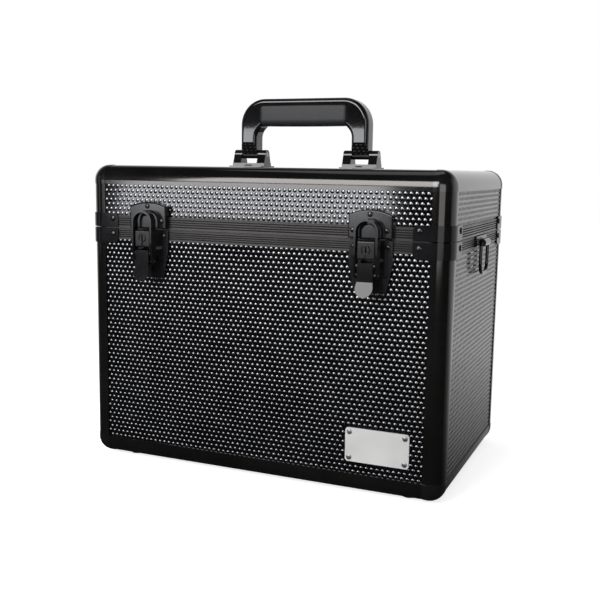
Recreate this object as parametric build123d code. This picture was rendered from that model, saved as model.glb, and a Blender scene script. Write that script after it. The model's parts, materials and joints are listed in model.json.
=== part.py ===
from build123d import *
import os

os.makedirs("parts", exist_ok=True)

# Hard case with a hinged lid, in millimetres. X is the width, the front faces -Y, Z is up.
# The origin is the centre of the case's underside, above the feet.

# Case body
case_width = 375.0
case_depth = 238.0
case_height = 300.0
lid_height = 62.3
parting_gap = 0.6
panel_thickness = 4.0
lining_thickness = 2.0

# Edge extrusions and their corner caps
profile_face = 18.6
corner_radius = 15.0
lip_thickness = 1.2
slot_start = 11.0
inner_corner_radius = 3.0
panel_clearance = 0.2
cap_proud = 0.4

# Rim rails at the parting line
base_rail_height = 11.0
lid_rail_height = 12.0
rail_slot_depth = 5.0
rail_edge_land = 1.6
groove_depth = 0.6
groove_height = 1.1
groove_count = 4
tongue_thickness = 1.2
tongue_height = 3.6
tongue_clearance = 0.3

# Corner braces
brace_sheet = 1.2
brace_leg = 34.5
base_brace_height = 15.0
lid_brace_height = 13.8
brace_gap_to_parting = 0.3
brace_inner_radius = 14.2
brace_end_radius = 5.0

# Rivets
rivet_clearance = 0.1
rivet_head_radius = 3.0
rivet_head_height = 1.3
rivet_shank_radius = 1.6
rivet_sides = 8
rivet_shank_sides = 6
rivet_head_taper = 24.0
brace_rivet_inset = 28.5
rim_rivet_below = 6.2
rim_rivet_above = 9.3

# Feet
foot_inset_x = 37.0
foot_radius = 7.5
foot_height = 5.0
foot_screw_head_radius = 3.0
foot_screw_head_height = 1.5
foot_screw_recess = 1.0
foot_screw_radius = 1.5

# Nameplate, left bare
nameplate_width = 61.5
nameplate_height = 32.4
nameplate_thickness = 0.8
nameplate_from_end = 62.3
nameplate_centre_z = 46.5
nameplate_corner_radius = 3.0
nameplate_rivet_inset = 4.0
nameplate_rivet_head = 1.8
nameplate_rivet_shank = 1.0

# Rear hinge
hinge_end_clearance = 13.0
hinge_knuckles = 7
hinge_leaf_thickness = 1.2
hinge_leaf_reach = 10.4
hinge_axis_offset = 3.7
hinge_knuckle_radius = 3.2
hinge_pin_radius = 1.5
running_clearance = 0.05
hinge_end_gap = 0.3
hinge_leaf_gap = 0.4
hinge_rivets = 5
hinge_rivet_from_end = 20.0
hinge_rivet_head = 2.2

# Draw latches
latch_from_end = 72.5
catch_width = 41.0
catch_depth = 6.0
catch_sheet = 1.5
catch_shoulder_above = 22.3
catch_top_above = 26.9
catch_start_above = 1.0
catch_top_rivet_above = 22.8
catch_low_rivet_above = 8.6
catch_rivet_spread = 15.8
latch_rivet_head = 2.5
dome_width = 16.0
dome_depth = 9.0
dome_top_above = 14.8
dome_edge_radius = 1.5
keeper_sheet = 2.0
keeper_width = 41.0
keeper_low_width = 31.0
keeper_shoulder_below = 21.7
keeper_length = 47.7
keeper_top_below = 0.3
keeper_rivet_spread = 16.0
keeper_corner_radius = 3.0
lock_width = 17.0
lock_height = 16.3
lock_depth = 16.0
lock_edge_radius = 1.2
lock_cylinder_radius = 4.6
lock_cylinder_length = 12.0
lock_cylinder_above = 8.7
key_slot_width = 1.4
key_slot_height = 5.6
key_slot_depth = 4.0
index_slot_height = 2.6
index_slot_above = 2.6

# Latch lever and draw loop
lever_pivot_depth = 12.5
lever_pivot_below = 22.7
loop_pin_depth = 11.9
loop_pin_below = 30.7
latch_pin_radius = 1.2
side_clearance = 0.3
lever_width = 14.8
lever_sheet = 1.8
lever_face_depth = 15.0
lever_top_below = 19.7
lever_bend_below = 36.5
lever_end_below = 49.8
lever_end_depth = 20.0
lever_flare_width = 16.4
cheek_thickness = 1.5
ear_thickness = 1.1
ear_radius = 3.5
loop_wall = 2.0
loop_width = 22.5
loop_top_above = 19.0
loop_depth = 8.0
loop_eye_radius = 3.2
loop_taper_below = 13.0

# Strap rings on the two ends
strap_plate_width = 50.0
strap_plate_height = 10.2
strap_plate_thickness = 1.5
strap_barrel_length = 24.0
strap_barrel_radius = 3.9
strap_axis_depth = 4.6
strap_axis_below = 6.7
ring_wire_radius = 1.75
ring_width = 35.0
ring_drop = 29.5
ring_low_radius = 9.0
ring_top_radius = 4.0
ring_clearance = 0.1
ring_sides = 10
strap_rivet_spread = 21.0

# Top handle
handle_width = 143.4
handle_rise = 71.5
handle_corner_radius = 27.0
handle_leg_width = 18.2
handle_depth = 20.0
handle_bar_height = 26.5
handle_inner_radius = 14.0
handle_edge_radius = 4.0
handle_pivot_above = 13.6
handle_pin_radius = 2.4
handle_eye_radius = 4.2
handle_taper_above = 13.0
grip_length = 97.0
grip_wrap = 1.5
grip_top_below = 7.5
grip_depth = 23.0
grip_core_depth = 14.0
grip_edge_radius = 6.0
bracket_ear_width = 9.1
bracket_ear_depth = 18.0
bracket_ear_radius = 5.0
bracket_floor_above = 4.5
bracket_flange_depth = 34.0
bracket_flange_above = 1.6
bracket_rivet_spread = 13.0

# Worked out from the sizes above
half_x = case_width / 2
half_y = case_depth / 2
parting = case_height - lid_height
base_top = parting - parting_gap / 2
lid_bottom = parting + parting_gap / 2
wall = 2 * lip_thickness + panel_thickness
panel_edge = slot_start + panel_clearance
inside = lip_thickness + panel_thickness
rail_length_x = case_width - 2 * profile_face
rail_length_y = case_depth - 2 * profile_face
hinge_y = half_y + hinge_axis_offset
nameplate_centre_x = half_x - nameplate_from_end
hinge_length = case_width - 2 * (brace_leg + hinge_end_clearance)
hinge_rivet_spacing = (hinge_length - 2 * hinge_rivet_from_end) / (hinge_rivets - 1)
latch_offset_x = half_x - latch_from_end
handle_top = case_height + handle_rise
handle_bar_under = handle_top - handle_bar_height
grip_under = handle_bar_under - grip_wrap
grip_top = handle_top - grip_top_below
mid_height = Plane(origin=(0, 0, case_height / 2), z_dir=(0, 0, 1))


def box_between(low, high):
    """Box from its lowest to its highest corner."""
    size = [b - a for a, b in zip(low, high)]
    return Pos(*low) * Box(*size, align=(Align.MIN, Align.MIN, Align.MIN))


def outline(points):
    """Flat face through the points in the XY plane."""
    return make_face(Polyline(*points, close=True))


def depth_outline(points, x_low, x_high):
    """Extrude an outline of (depth in front of the case, height) points along X."""
    plane = Plane(origin=(x_low, -half_y, 0), x_dir=(0, -1, 0), z_dir=(-1, 0, 0))
    face = plane * outline(points)
    return extrude(face, amount=x_high - x_low, dir=(1, 0, 0))


def front_outline(face, depth_low, depth_high):
    """Extrude a face drawn as (x, height) outwards from the front of the case."""
    plane = Plane(origin=(0, -half_y - depth_low, 0), x_dir=(1, 0, 0), z_dir=(0, -1, 0))
    return extrude(plane * face, amount=depth_high - depth_low)


def left_and_right(shape):
    """The shape and its mirror image across the middle of the width."""
    return [shape, mirror(shape, about=Plane.YZ)]


def front_and_back(shapes):
    """The shapes and their mirror images across the middle of the depth."""
    return list(shapes) + [mirror(each, about=Plane.XZ) for each in shapes]


def rod(start, end, radius):
    """Round bar between two points."""
    start, end = Vector(*start), Vector(*end)
    plane = Plane(origin=start, z_dir=end - start)
    return extrude(plane * Circle(radius), amount=(end - start).length)


def rivet(at, outward, length, head=rivet_head_radius, shank=rivet_shank_radius, rise=rivet_head_height):
    """Rivet whose tapered head sits at a point and whose shank runs inwards."""
    crown = extrude(RegularPolygon(head, rivet_sides), amount=rise, taper=rivet_head_taper)
    body = crown + extrude(RegularPolygon(shank, rivet_shank_sides), amount=-length)
    return Plane(origin=at, z_dir=outward).location * body


def rivet_hole(at, outward, length, shank=rivet_shank_radius):
    """Clearance hole for a rivet placed with the same values."""
    section = RegularPolygon(shank + rivet_clearance, rivet_shank_sides, major_radius=False)
    hole = extrude(section, amount=-length - panel_clearance)
    return Plane(origin=at, z_dir=outward).location * hole


def pierced(shape, spots, length, shank=rivet_shank_radius):
    """Cut a hole for every rivet spot, a point and its outward direction."""
    for at, outward in spots:
        shape = shape - rivet_hole(at, outward, length, shank)
    return shape


def edge_section():
    """Quarter-round section with a panel slot in each leg."""
    section = Pos(profile_face / 2, profile_face / 2) * Rectangle(profile_face, profile_face)
    section = fillet(section.vertices().sort_by(lambda v: v.X + v.Y)[0], corner_radius)
    hollow_side = profile_face - wall
    middle = wall + hollow_side / 2
    hollow = Pos(middle, middle) * Rectangle(hollow_side, hollow_side)
    hollow = fillet(hollow.vertices().sort_by(lambda v: v.X + v.Y)[0], inner_corner_radius)
    slot_length = profile_face - slot_start
    across = lip_thickness + panel_thickness / 2
    along = slot_start + slot_length / 2
    slot_a = Pos(across, along) * Rectangle(panel_thickness, slot_length)
    slot_b = Pos(along, across) * Rectangle(slot_length, panel_thickness)
    return section - hollow - slot_a - slot_b


def edge_run(origin, leg_direction, along, length):
    """One length of edge extrusion, from its outer corner line."""
    plane = Plane(origin=origin, x_dir=leg_direction, z_dir=along)
    return extrude(plane * edge_section(), amount=length)


def bottom_profiles():
    """Four edge extrusions round the underside, between the corner caps."""
    front_edge = edge_run((-half_x + profile_face, -half_y, 0), (0, 1, 0), (1, 0, 0), rail_length_x)
    left_edge = edge_run((-half_x, half_y - profile_face, 0), (1, 0, 0), (0, -1, 0), rail_length_y)
    return [front_edge, mirror(front_edge, about=Plane.XZ)] + left_and_right(left_edge)


def upright_profiles(z_low, z_high):
    """Four upright edge extrusions between two heights."""
    post = edge_run((-half_x, -half_y, z_low), (1, 0, 0), (0, 0, 1), z_high - z_low)
    return front_and_back(left_and_right(post))


def corner_caps():
    """Four rounded three-way caps at the bottom corners."""
    low = (-half_x - cap_proud, -half_y - cap_proud, -cap_proud)
    high = (-half_x + profile_face, -half_y + profile_face, profile_face)
    block = box_between(low, high)
    corner = Vector(*low)
    outer = [e for e in block.edges() if min((Vector(v) - corner).length for v in e.vertices()) < 0.01]
    block = fillet(outer, corner_radius + cap_proud)
    cavity = box_between((-half_x + wall, -half_y + wall, wall), (-half_x + case_width, half_y, case_height))
    return front_and_back(left_and_right(block - cavity))


def to_lid(shapes):
    """Mirror pieces of the base to the top of the case."""
    return [mirror(each, about=mid_height) for each in shapes]


def ribbed(bar, length, z_low, z_high):
    """Cut level grooves along a rail's outer face, which lies on y = 0."""
    span = z_high - z_low - 2 * rail_edge_land
    pitch = span / groove_count
    for i in range(groove_count):
        middle = z_low + rail_edge_land + (i + 0.5) * pitch
        low = (-length / 2, 0, middle - groove_height / 2)
        bar = bar - box_between(low, (length / 2, groove_depth, middle + groove_height / 2))
    return bar


def base_rail(length):
    """Rim rail of the base with its outer face on y = 0 and its top on z = 0."""
    half = length / 2
    bar = box_between((-half, 0, -base_rail_height), (half, wall, 0))
    tongue_y = inside - tongue_thickness
    bar = bar + box_between((-half, tongue_y, 0), (half, inside, tongue_height))
    slot_top = rail_slot_depth - base_rail_height
    bar = bar - box_between((-half, lip_thickness, -base_rail_height), (half, inside, slot_top))
    return ribbed(bar, length, -base_rail_height, 0)


def lid_rail(length):
    """Rim rail of the lid with its outer face on y = 0 and its underside on z = 0."""
    half = length / 2
    bar = box_between((-half, 0, 0), (half, wall, lid_rail_height))
    recess_y = inside - tongue_thickness - tongue_clearance
    bar = bar - box_between((-half, recess_y, 0), (half, wall, tongue_height))
    slot_low = lid_rail_height - rail_slot_depth
    bar = bar - box_between((-half, lip_thickness, slot_low), (half, inside, lid_rail_height))
    return ribbed(bar, length, 0, lid_rail_height)


def rail_round(rail, z):
    """Place one kind of rail on all four sides: front, back, left and right."""
    long_rail, short_rail = rail(rail_length_x), rail(rail_length_y)
    return {
        "front": Pos(0, -half_y, z) * long_rail,
        "back": Pos(0, half_y, z) * Rot(0, 0, 180) * long_rail,
        "left": Pos(-half_x, 0, z) * Rot(0, 0, -90) * short_rail,
        "right": Pos(half_x, 0, z) * Rot(0, 0, 90) * short_rail,
    }


def wall_panel(half_length, z_low, z_high, notch_z):
    """Upright panel on y = 0 facing -Y, notched where the corner caps sit."""
    reach = half_length - panel_edge
    panel = box_between((-reach, 0, z_low), (reach, panel_thickness, z_high))
    notch = half_length - profile_face - panel_clearance
    low, high = notch_z
    for side in (-1, 1):
        x_range = sorted((side * notch, side * half_length))
        panel = panel - box_between((x_range[0], 0, low), (x_range[1], panel_thickness, high))
    return panel


def wall_panels(z_low, z_high, notch_z):
    """The four wall panels of the base or the lid."""
    long_panel = wall_panel(half_x, z_low, z_high, notch_z)
    short_panel = wall_panel(half_y, z_low, z_high, notch_z)
    return {
        "front": Pos(0, -half_y + lip_thickness, 0) * long_panel,
        "back": Pos(0, half_y - lip_thickness, 0) * Rot(0, 0, 180) * long_panel,
        "left": Pos(-half_x + lip_thickness, 0, 0) * Rot(0, 0, -90) * short_panel,
        "right": Pos(half_x - lip_thickness, 0, 0) * Rot(0, 0, 90) * short_panel,
    }


def floor_panel():
    """Panel of the underside, notched at the corner caps."""
    reach_x, reach_y = half_x - panel_edge, half_y - panel_edge
    panel = box_between((-reach_x, -reach_y, lip_thickness), (reach_x, reach_y, inside))
    notch_x = half_x - profile_face - panel_clearance
    notch_y = half_y - profile_face - panel_clearance
    notch = box_between((-half_x, -half_y, 0), (-notch_x, -notch_y, profile_face))
    for each in front_and_back(left_and_right(notch)):
        panel = panel - each
    return panel


def lining(z_low, z_high, floor_z):
    """Thin lining boards on the inner faces of the panels, between the extrusion lips."""
    reach_x = half_x - profile_face - panel_clearance
    reach_y = half_y - profile_face - panel_clearance
    inner_y, inner_x = half_y - inside, half_x - inside
    long_board = box_between((-reach_x, -inner_y, z_low), (reach_x, -inner_y + lining_thickness, z_high))
    short_board = box_between((-inner_x, -reach_y, z_low), (-inner_x + lining_thickness, reach_y, z_high))
    flat = box_between((-reach_x, -reach_y, floor_z), (reach_x, reach_y, floor_z + lining_thickness))
    return [flat, long_board, mirror(long_board, about=Plane.XZ)] + left_and_right(short_board)


def brace(z_low, z_high, far_z):
    """Sheet wrapped round the front left upright, with rounded outlines."""
    full = brace_leg + brace_sheet
    outer = Pos(full / 2 - brace_sheet, full / 2 - brace_sheet) * Rectangle(full, full)
    outer = fillet(outer.vertices().sort_by(lambda v: v.X + v.Y)[0], corner_radius + brace_sheet)
    inner = Pos(brace_leg / 2, brace_leg / 2) * Rectangle(brace_leg, brace_leg)
    inner = fillet(inner.vertices().sort_by(lambda v: v.X + v.Y)[0], brace_inner_radius)
    plane = Plane(origin=(-half_x, -half_y, z_low), x_dir=(1, 0, 0), z_dir=(0, 0, 1))
    sheet = extrude(plane * (outer - inner), amount=z_high - z_low)
    ends = [
        e
        for e in sheet.edges()
        if abs(e.length - brace_sheet) < 0.01
        and abs(e.center().Z - far_z) < 0.01
        and max(e.center().X + half_x, e.center().Y + half_y) > brace_leg - 0.01
    ]
    return fillet(ends, brace_end_radius)


def brace_spots(z):
    """Rivet spots on the braces at one height, on the sheet's outer face."""
    x, y = half_x - brace_rivet_inset, half_y - brace_rivet_inset
    spots = []
    for sx in (-1, 1):
        for sy in (-1, 1):
            spots.append(((sx * x, sy * (half_y + brace_sheet), z), (0, sy, 0)))
            spots.append(((sx * (half_x + brace_sheet), sy * y, z), (sx, 0, 0)))
    return spots


def foot_spots():
    """Centres of the four feet."""
    x = half_x - foot_inset_x
    y = half_y - profile_face - panel_clearance - foot_radius
    return [(sx * x, sy * y) for sx in (-1, 1) for sy in (-1, 1)]


def feet():
    """Rubber feet with a recess for the screw head, seated on the floor panel."""
    low = lip_thickness - foot_height
    pads = []
    for x, y in foot_spots():
        pad = Pos(x, y, low + foot_height / 2) * Cylinder(foot_radius, foot_height)
        pad = chamfer(pad.edges().group_by(Axis.Z)[0], 0.8)
        recess = foot_screw_recess + foot_screw_head_height
        pad = pad - rod((x, y, low), (x, y, low + recess), foot_screw_head_radius + side_clearance)
        pad = pad - rod((x, y, low), (x, y, lip_thickness), foot_screw_radius + rivet_clearance)
        pads.append(pad)
    return pads


def foot_screws():
    """Screws through the feet into the floor panel."""
    head_low = lip_thickness - foot_height + foot_screw_recess
    head_top = head_low + foot_screw_head_height
    screws = []
    for x, y in foot_spots():
        head = rod((x, y, head_low), (x, y, head_top), foot_screw_head_radius)
        screws.append(head + rod((x, y, head_low), (x, y, inside), foot_screw_radius))
    return screws


def nameplate_spots():
    """Rivet spots at the plate's four corners."""
    x = nameplate_width / 2 - nameplate_rivet_inset
    z = nameplate_height / 2 - nameplate_rivet_inset
    y = -half_y + lip_thickness - nameplate_thickness
    spots = []
    for sx in (-1, 1):
        for sz in (-1, 1):
            spots.append(((nameplate_centre_x + sx * x, y, nameplate_centre_z + sz * z), (0, -1, 0)))
    return spots


def nameplate():
    """Bare plate on the front panel."""
    face = Rectangle(nameplate_width, nameplate_height)
    face = fillet(face.vertices(), nameplate_corner_radius)
    face = Pos(nameplate_centre_x, nameplate_centre_z) * face
    plate = front_outline(face, -lip_thickness, nameplate_thickness - lip_thickness)
    return pierced(plate, nameplate_spots(), panel_thickness, nameplate_rivet_shank)


def knuckle_spans(first):
    """X ranges of every other hinge knuckle, starting from knuckle 0 or 1."""
    pitch = hinge_length / hinge_knuckles
    start = -hinge_length / 2
    spans = []
    for i in range(first, hinge_knuckles, 2):
        low = start + i * pitch + (hinge_end_gap / 2 if i else 0)
        high = start + (i + 1) * pitch - (hinge_end_gap / 2 if i < hinge_knuckles - 1 else 0)
        spans.append((low, high))
    return spans


def hinge_leaf(first, sign):
    """Hinge leaf with its knuckles, below the pin for the base or above it for the lid."""
    near = hinge_knuckle_radius + hinge_leaf_gap
    leaf_z = sorted((parting + sign * near, parting + sign * hinge_leaf_reach))
    outer_y = half_y + hinge_leaf_thickness
    low = (-hinge_length / 2, half_y, leaf_z[0])
    leaf = box_between(low, (hinge_length / 2, outer_y, leaf_z[1]))
    for x_low, x_high in knuckle_spans(first):
        tab_z = sorted((parting, parting + sign * near))
        leaf = leaf + box_between((x_low, half_y, tab_z[0]), (x_high, outer_y, tab_z[1]))
        leaf = leaf + rod((x_low, hinge_y, parting), (x_high, hinge_y, parting), hinge_knuckle_radius)
    bore = hinge_pin_radius + running_clearance
    leaf = leaf - rod((-hinge_length, hinge_y, parting), (hinge_length, hinge_y, parting), bore)
    return pierced(leaf, hinge_spots(sign), hinge_leaf_thickness + lip_thickness)


def hinge_spots(sign):
    """Rivet spots along one leaf."""
    leaf_middle = (hinge_knuckle_radius + hinge_leaf_gap + hinge_leaf_reach) / 2
    z = parting + sign * leaf_middle
    y = half_y + hinge_leaf_thickness
    middle = (hinge_rivets - 1) / 2
    return [(((i - middle) * hinge_rivet_spacing, y, z), (0, 1, 0)) for i in range(hinge_rivets)]


def hinge_pin():
    """Pin through all the knuckles."""
    half = hinge_length / 2
    return rod((-half, hinge_y, parting), (half, hinge_y, parting), hinge_pin_radius)


def catch_spots():
    """Rivet spots of the left catch plate, on its front sheet."""
    x, y = -latch_offset_x, -half_y - catch_depth
    top = ((x, y, parting + catch_top_rivet_above), (0, -1, 0))
    low = parting + catch_low_rivet_above
    return [top] + [((x + s * catch_rivet_spread, y, low), (0, -1, 0)) for s in (-1, 1)]


def catch_face(inset):
    """Catch plate outline with a shallow arched top, drawn as (x, height)."""
    half = catch_width / 2 - inset
    low = parting + catch_start_above + inset
    shoulder = parting + catch_shoulder_above - inset
    top = parting + catch_top_above - inset
    with BuildLine() as edge:
        Polyline((-half, shoulder), (-half, low), (half, low), (half, shoulder))
        ThreePointArc((half, shoulder), (0, top), (-half, shoulder))
    return make_face(edge.line)


def catch_plate():
    """Pressed plate on the lid with the raised dome that the draw loop closes round."""
    centre = Pos(-latch_offset_x, 0)
    shell = front_outline(centre * catch_face(0), 0, catch_depth)
    rim = shell.faces().sort_by(Axis.Y)[0].edges()
    shell = fillet(rim, catch_sheet)
    shell = shell - front_outline(centre * catch_face(catch_sheet), 0, catch_depth - catch_sheet)
    radius = dome_width / 2
    low = parting + catch_start_above
    arch = parting + dome_top_above - radius
    round_top = (Pos(0, arch) * Circle(radius)) & (Pos(0, arch + radius / 2) * Rectangle(dome_width, radius))
    face = Pos(0, (low + arch) / 2) * Rectangle(dome_width, arch - low) + round_top
    dome = front_outline(centre * face, catch_depth - catch_sheet, dome_depth)
    dome = fillet(dome.faces().sort_by(Axis.Y)[0].edges(), dome_edge_radius)
    return pierced(shell + dome, catch_spots(), catch_depth + inside)


def keeper_spots():
    """Rivet spots of the left latch's base plate."""
    z = parting - rim_rivet_below
    y = -half_y - keeper_sheet
    return [((-latch_offset_x + s * keeper_rivet_spread, y, z), (0, -1, 0)) for s in (-1, 1)]


def pivot(depth, below):
    """Depth and height of a latch pin."""
    return depth, parting - below


def keeper_plate():
    """Base plate of the left latch, with the two ears of the lever pin."""
    top = parting - keeper_top_below
    shoulder = parting - keeper_shoulder_below
    low = parting - keeper_length
    wide, narrow = keeper_width / 2, keeper_low_width / 2
    face = outline(
        [(-wide, top), (-wide, shoulder), (-narrow, low), (narrow, low), (wide, shoulder), (wide, top)]
    )
    face = fillet(face.vertices().group_by(Axis.Y)[0], keeper_corner_radius)
    plate = front_outline(Pos(-latch_offset_x, 0) * face, 0, keeper_sheet)
    depth, height = pivot(lever_pivot_depth, lever_pivot_below)
    ear_in = lever_width / 2 + side_clearance
    for side in (-1, 1):
        x_low, x_high = sorted((side * ear_in, side * (ear_in + ear_thickness)))
        x_low, x_high = x_low - latch_offset_x, x_high - latch_offset_x
        y = -half_y - depth
        ear = box_between((x_low, y, height - ear_radius), (x_high, -half_y, height + ear_radius))
        ear = ear + rod((x_low, y, height), (x_high, y, height), ear_radius)
        ear = ear - rod((x_low, y, height), (x_high, y, height), latch_pin_radius + running_clearance)
        plate = plate + ear
    return pierced(plate, keeper_spots(), keeper_sheet + lip_thickness)


def lock_axis():
    """Left lock cylinder's x and height."""
    return -latch_offset_x, parting - keeper_top_below - lock_height + lock_cylinder_above


def lock_housing():
    """Block between the latch's arms, bored for the lock cylinder."""
    x, z = lock_axis()
    top = parting - keeper_top_below
    low = top - lock_height
    face = Pos(x, (top + low) / 2) * Rectangle(lock_width, lock_height)
    block = front_outline(face, keeper_sheet, lock_depth)
    block = fillet(block.faces().sort_by(Axis.Y)[0].edges(), lock_edge_radius)
    y = -half_y - lock_depth
    bore = lock_cylinder_radius + running_clearance
    block = block - rod((x, y, z), (x, y + lock_cylinder_length, z), bore)
    index = Pos(x, low + index_slot_above) * Rectangle(key_slot_width, index_slot_height)
    return block - front_outline(index, lock_depth - key_slot_width, lock_depth)


def lock_cylinder():
    """Round plug with a key slot, turning in the housing."""
    x, z = lock_axis()
    y = -half_y - lock_depth
    plug = rod((x, y, z), (x, y + lock_cylinder_length, z), lock_cylinder_radius)
    slot = Pos(x, z) * Rectangle(key_slot_width, key_slot_height)
    return plug - front_outline(slot, lock_depth - key_slot_depth, lock_depth)


def lever():
    """Folded thumb lever: a bent plate with two cheeks on its pins."""
    top = parting - lever_top_below
    bend = parting - lever_bend_below
    end = parting - lever_end_below
    face, back_face = lever_face_depth + lever_sheet, lever_face_depth
    half = lever_flare_width / 2
    side = [
        (back_face, top),
        (face, top),
        (face, bend),
        (lever_end_depth + lever_sheet, end),
        (lever_end_depth, end),
        (back_face, bend),
    ]
    plate = depth_outline(side, -half, half)
    straight = lever_width / 2
    waist = Pos(0, (top + bend) / 2) * Rectangle(lever_width, top - bend)
    flare = outline([(-straight, bend), (straight, bend), (half, end + half), (-half, end + half)])
    tip = Pos(0, end + half) * Circle(half)
    plate = plate & front_outline(waist + flare + tip, 0, lever_end_depth + 2 * lever_sheet)
    pivot_depth, pivot_z = pivot(lever_pivot_depth, lever_pivot_below)
    pin_depth, pin_z = pivot(loop_pin_depth, loop_pin_below)
    reach = latch_pin_radius + cheek_thickness
    cheek_side = [
        (face - lever_sheet / 2, top),
        (pivot_depth - reach / 2, top),
        (pivot_depth - reach, pivot_z),
        (pin_depth - reach, pin_z),
        (pin_depth, pin_z - reach),
        (face - lever_sheet / 2, pin_z - reach - cheek_thickness),
    ]
    for x in (-straight, straight - cheek_thickness):
        plate = plate + depth_outline(cheek_side, x, x + cheek_thickness)
    bore = latch_pin_radius + running_clearance
    for depth, height in ((pivot_depth, pivot_z), (pin_depth, pin_z)):
        y = -half_y - depth
        plate = plate - rod((-half, y, height), (half, y, height), bore)
    return Pos(-latch_offset_x, 0, 0) * plate


def draw_loop():
    """Arched band that closes round the dome, with an eye at each end."""
    outer, inner = loop_width / 2, loop_width / 2 - loop_wall
    arch = parting + loop_top_above - outer
    pin_depth, pin_z = pivot(loop_pin_depth, loop_pin_below)
    low = pin_z - loop_eye_radius
    band = Pos(0, (arch + low) / 2) * Rectangle(2 * outer, arch - low) + Pos(0, arch) * Circle(outer)
    gap = Pos(0, (arch + low) / 2) * Rectangle(2 * inner, arch - low) + Pos(0, arch) * Circle(inner)
    back_depth = dome_depth + side_clearance
    front_depth = back_depth + loop_depth
    solid = front_outline(band - gap, 0, front_depth + loop_eye_radius)
    taper = parting - loop_taper_below
    top = parting + loop_top_above
    side = [
        (back_depth, top),
        (front_depth, top),
        (front_depth, taper),
        (pin_depth + loop_eye_radius, pin_z),
        (pin_depth - loop_eye_radius, pin_z),
        (back_depth, taper),
    ]
    y = -half_y - pin_depth
    eye = rod((-outer, y, pin_z), (outer, y, pin_z), loop_eye_radius)
    solid = solid & (depth_outline(side, -outer, outer) + eye)
    solid = solid - rod((-outer, y, pin_z), (outer, y, pin_z), latch_pin_radius + running_clearance)
    return Pos(-latch_offset_x, 0, 0) * solid


def latch_pin(depth, below, half_length):
    """Pin across the left latch."""
    depth, height = pivot(depth, below)
    y = -half_y - depth
    start = (-latch_offset_x - half_length, y, height)
    return rod(start, (-latch_offset_x + half_length, y, height), latch_pin_radius)


def strap_spots():
    """Rivet spots of the right strap plate."""
    x = half_x + strap_plate_thickness
    z = parting - rim_rivet_below
    return [((x, s * strap_rivet_spread, z), (1, 0, 0)) for s in (-1, 1)]


def strap_plate():
    """Plate on the right end with a rolled barrel for the ring."""
    half = strap_plate_width / 2
    top = parting - keeper_top_below
    face = Pos(0, top - strap_plate_height / 2) * Rectangle(strap_plate_width, strap_plate_height)
    face = fillet(face.vertices(), 2 * strap_plate_thickness)
    plane = Plane(origin=(half_x, 0, 0), x_dir=(0, 1, 0), z_dir=(1, 0, 0))
    plate = extrude(plane * face, amount=strap_plate_thickness)
    x, z = half_x + strap_axis_depth, parting - strap_axis_below
    barrel = strap_barrel_length / 2
    plate = plate + rod((x, -barrel, z), (x, barrel, z), strap_barrel_radius)
    plate = plate - box_between((half_x - strap_barrel_radius, -half, 0), (half_x, half, case_height))
    plate = plate - rod((x, -barrel, z), (x, barrel, z), ring_wire_radius + ring_clearance)
    return pierced(plate, strap_spots(), strap_plate_thickness + lip_thickness)


def strap_ring():
    """Wire bent to a closed ring, hanging from the barrel on the right end."""
    half = ring_width / 2 - ring_wire_radius
    x, top = half_x + strap_axis_depth, parting - strap_axis_below
    low = top - ring_drop
    corners = [(x, 0, top), (x, half, top), (x, half, low), (x, -half, low), (x, -half, top)]
    radii = [0, ring_top_radius, ring_low_radius, ring_low_radius, ring_top_radius]
    path = FilletPolyline(*corners, radius=radii, close=True)
    start = Plane(origin=(x, 0, top), z_dir=(0, 1, 0))
    return sweep(start * RegularPolygon(ring_wire_radius, ring_sides), path=path)


def handle_centre():
    """Distance of each handle leg from the middle of the case."""
    return handle_width / 2 - handle_leg_width / 2


def bracket_spots():
    """Rivet spots of the left handle bracket."""
    z = case_height + bracket_flange_above
    return [((-handle_centre(), s * bracket_rivet_spread, z), (0, 0, 1)) for s in (-1, 1)]


def handle_bracket():
    """Left clevis on the lid: a flange, a floor and two ears."""
    centre = -handle_centre()
    seat = case_height - lip_thickness
    gap = handle_leg_width / 2 + side_clearance
    half = gap + bracket_ear_width
    flange_y = bracket_flange_depth / 2
    flange_top = case_height + bracket_flange_above
    solid = box_between((centre - half, -flange_y, seat), (centre + half, flange_y, flange_top))
    floor_y = bracket_ear_depth / 2
    floor_top = case_height + bracket_floor_above
    solid = solid + box_between((centre - half, -floor_y, seat), (centre + half, floor_y, floor_top))
    pivot_z = case_height + handle_pivot_above
    arc = bracket_ear_radius
    face = outline([(-floor_y, flange_top), (floor_y, flange_top), (arc, pivot_z), (-arc, pivot_z)])
    face = face + Pos(0, pivot_z) * Circle(arc)
    plane = Plane(origin=(centre - half, 0, 0), x_dir=(0, 1, 0), z_dir=(1, 0, 0))
    ear = extrude(plane * face, amount=bracket_ear_width)
    solid = solid + ear + Pos(half + gap, 0, 0) * ear
    bore = handle_pin_radius + running_clearance
    solid = solid - rod((centre - half, 0, pivot_z), (centre + half, 0, pivot_z), bore)
    return pierced(solid, bracket_spots(), bracket_flange_above + lip_thickness + panel_thickness)


def handle_pin():
    """Left handle pin, as long as its bracket is wide."""
    centre = -handle_centre()
    half = handle_leg_width / 2 + side_clearance + bracket_ear_width
    z = case_height + handle_pivot_above
    return rod((centre - half, 0, z), (centre + half, 0, z), handle_pin_radius)


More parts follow.
